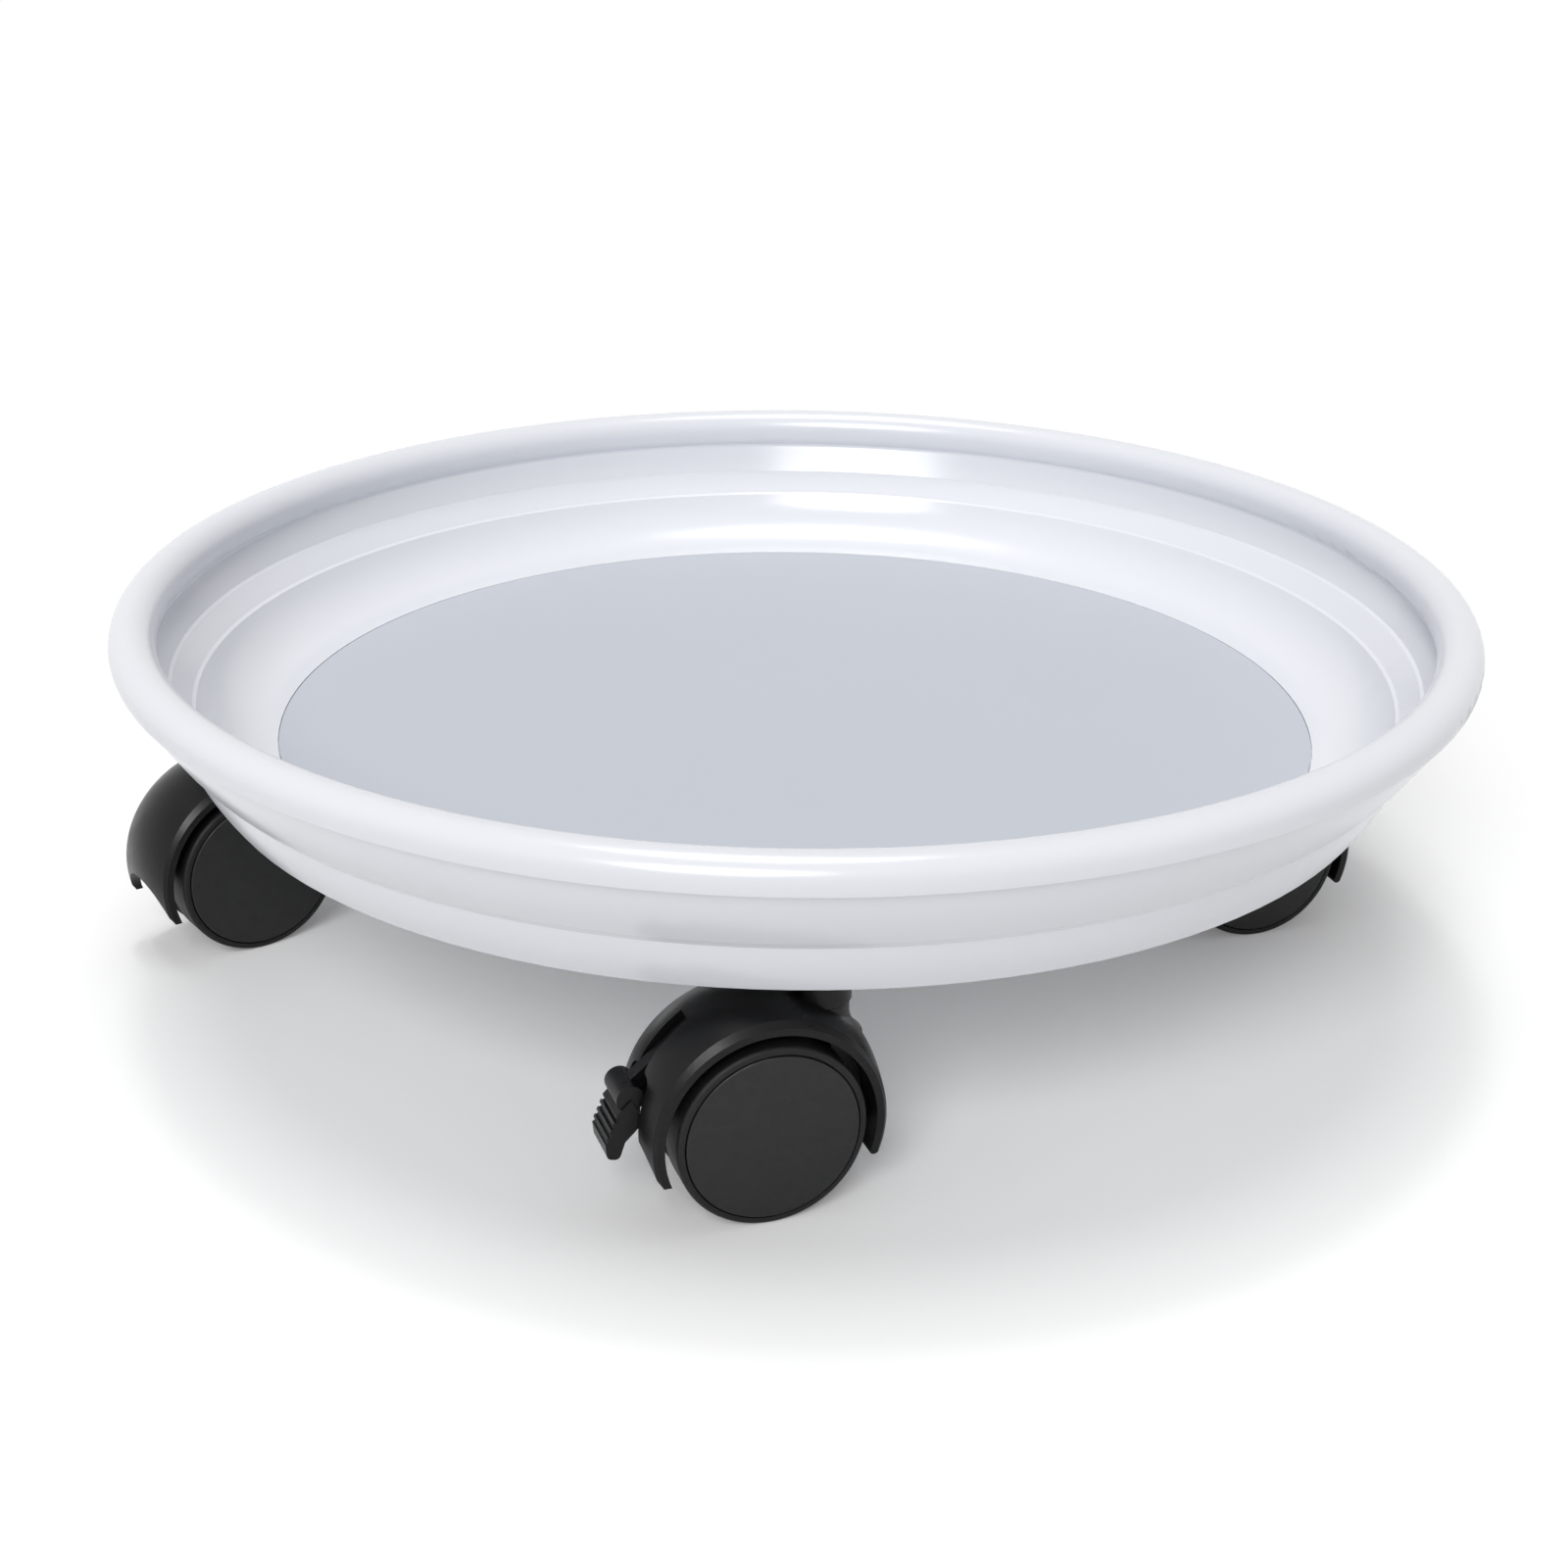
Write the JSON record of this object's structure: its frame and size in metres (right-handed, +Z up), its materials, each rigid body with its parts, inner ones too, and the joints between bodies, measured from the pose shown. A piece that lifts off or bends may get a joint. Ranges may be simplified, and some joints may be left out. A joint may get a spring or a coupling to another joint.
{
  "type": "plant caddy",
  "caption": "Round plant caddy: a white saucer-shaped tray with a rolled rim and a grey floor disc, on black hooded swivel casters with brake levers, for rolling a potted plant about.",
  "frame": {"origin": "on the ground under the centre of the tray", "axes": "+Z up along the tray's axis, -Y towards the front caster, +X to the viewer's right"},
  "size_m": [0.3069, 0.305, 0.0846],
  "materials": {
    "tray_white": "gloss",
    "disc_grey": "matte",
    "caster_black": "satin",
    "wheel_black": "matte",
    "steel": "satin",
    "spring_steel": "satin"
  },
  "bodies": {
    "caddy": {"tray": "tray_white", "floor_disc": "disc_grey", "front_stem": "steel", "front_stem_grip_ring": "spring_steel", "front_stem_clip": "spring_steel", "right_stem": "steel", "right_stem_grip_ring": "spring_steel", "right_stem_clip": "spring_steel", "rear_stem": "steel", "rear_stem_grip_ring": "spring_steel", "rear_stem_clip": "spring_steel", "left_stem": "steel", "left_stem_grip_ring": "spring_steel", "left_stem_clip": "spring_steel"},
    "front_swivel": {"front_hood": "caster_black", "front_axle": "steel", "front_thrust_washer": "steel", "front_brake_pin": "steel"},
    "front_wheel_left": {"front_wheel_left": "wheel_black", "front_wheel_cap_left": "caster_black"},
    "front_wheel_right": {"front_wheel_right": "wheel_black", "front_wheel_cap_right": "caster_black"},
    "front_brake": {"front_brake_lever": "caster_black"},
    "right_swivel": {"right_hood": "caster_black", "right_axle": "steel", "right_thrust_washer": "steel"},
    "right_wheel_left": {"right_wheel_left": "wheel_black", "right_wheel_cap_left": "caster_black"},
    "right_wheel_right": {"right_wheel_right": "wheel_black", "right_wheel_cap_right": "caster_black"},
    "rear_swivel": {"rear_hood": "caster_black", "rear_axle": "steel", "rear_thrust_washer": "steel", "rear_brake_pin": "steel"},
    "rear_wheel_left": {"rear_wheel_left": "wheel_black", "rear_wheel_cap_left": "caster_black"},
    "rear_wheel_right": {"rear_wheel_right": "wheel_black", "rear_wheel_cap_right": "caster_black"},
    "rear_brake": {"rear_brake_lever": "caster_black"},
    "left_swivel": {"left_hood": "caster_black", "left_axle": "steel", "left_thrust_washer": "steel"},
    "left_wheel_left": {"left_wheel_left": "wheel_black", "left_wheel_cap_left": "caster_black"},
    "left_wheel_right": {"left_wheel_right": "wheel_black", "left_wheel_cap_right": "caster_black"}
  },
  "joints": [
    {"name": "front_swivel", "type": "hinge", "parent": "caddy", "child": "front_swivel", "pos_m": [0.00519, -0.11899, 0.0454], "axis": [0, 0, 1], "continuous": true},
    {"name": "front_spin_left", "type": "hinge", "parent": "front_swivel", "child": "front_wheel_left", "pos_m": [-0.007, -0.12348, 0.019], "axis": [0.3453, -0.9385, 0], "continuous": true},
    {"name": "front_spin_right", "type": "hinge", "parent": "front_swivel", "child": "front_wheel_right", "pos_m": [-0.007, -0.12348, 0.019], "axis": [0.3453, -0.9385, 0], "continuous": true},
    {"name": "front_brake", "type": "hinge", "parent": "front_swivel", "child": "front_brake", "pos_m": [-0.01818, -0.12759, 0.03938], "axis": [0.3453, -0.9385, 0], "range_deg": [0, 5.5]},
    {"name": "right_swivel", "type": "hinge", "parent": "caddy", "child": "right_swivel", "pos_m": [0.11899, 0.00519, 0.0454], "axis": [0, 0, 1], "continuous": true},
    {"name": "right_spin_left", "type": "hinge", "parent": "right_swivel", "child": "right_wheel_left", "pos_m": [0.10659, 0.00129, 0.019], "axis": [0.3007, -0.9537, 0], "continuous": true},
    {"name": "right_spin_right", "type": "hinge", "parent": "right_swivel", "child": "right_wheel_right", "pos_m": [0.10659, 0.00129, 0.019], "axis": [0.3007, -0.9537, 0], "continuous": true},
    {"name": "rear_swivel", "type": "hinge", "parent": "caddy", "child": "rear_swivel", "pos_m": [-0.00519, 0.11899, 0.0454], "axis": [0, 0, 1], "continuous": true},
    {"name": "rear_spin_left", "type": "hinge", "parent": "rear_swivel", "child": "rear_wheel_left", "pos_m": [-0.01707, 0.1137, 0.019], "axis": [0.4067, -0.9135, 0], "continuous": true},
    {"name": "rear_spin_right", "type": "hinge", "parent": "rear_swivel", "child": "rear_wheel_right", "pos_m": [-0.01707, 0.1137, 0.019], "axis": [0.4067, -0.9135, 0], "continuous": true},
    {"name": "rear_brake", "type": "hinge", "parent": "rear_swivel", "child": "rear_brake", "pos_m": [-0.02795, 0.10886, 0.03938], "axis": [0.4067, -0.9135, 0], "range_deg": [0, 5.5]},
    {"name": "left_swivel", "type": "hinge", "parent": "caddy", "child": "left_swivel", "pos_m": [-0.11899, -0.00519, 0.0454], "axis": [0, 0, 1], "continuous": true},
    {"name": "left_spin_left", "type": "hinge", "parent": "left_swivel", "child": "left_wheel_left", "pos_m": [-0.12938, -0.013, 0.019], "axis": [0.6004, -0.7997, 0], "continuous": true},
    {"name": "left_spin_right", "type": "hinge", "parent": "left_swivel", "child": "left_wheel_right", "pos_m": [-0.12938, -0.013, 0.019], "axis": [0.6004, -0.7997, 0], "continuous": true}
  ]
}
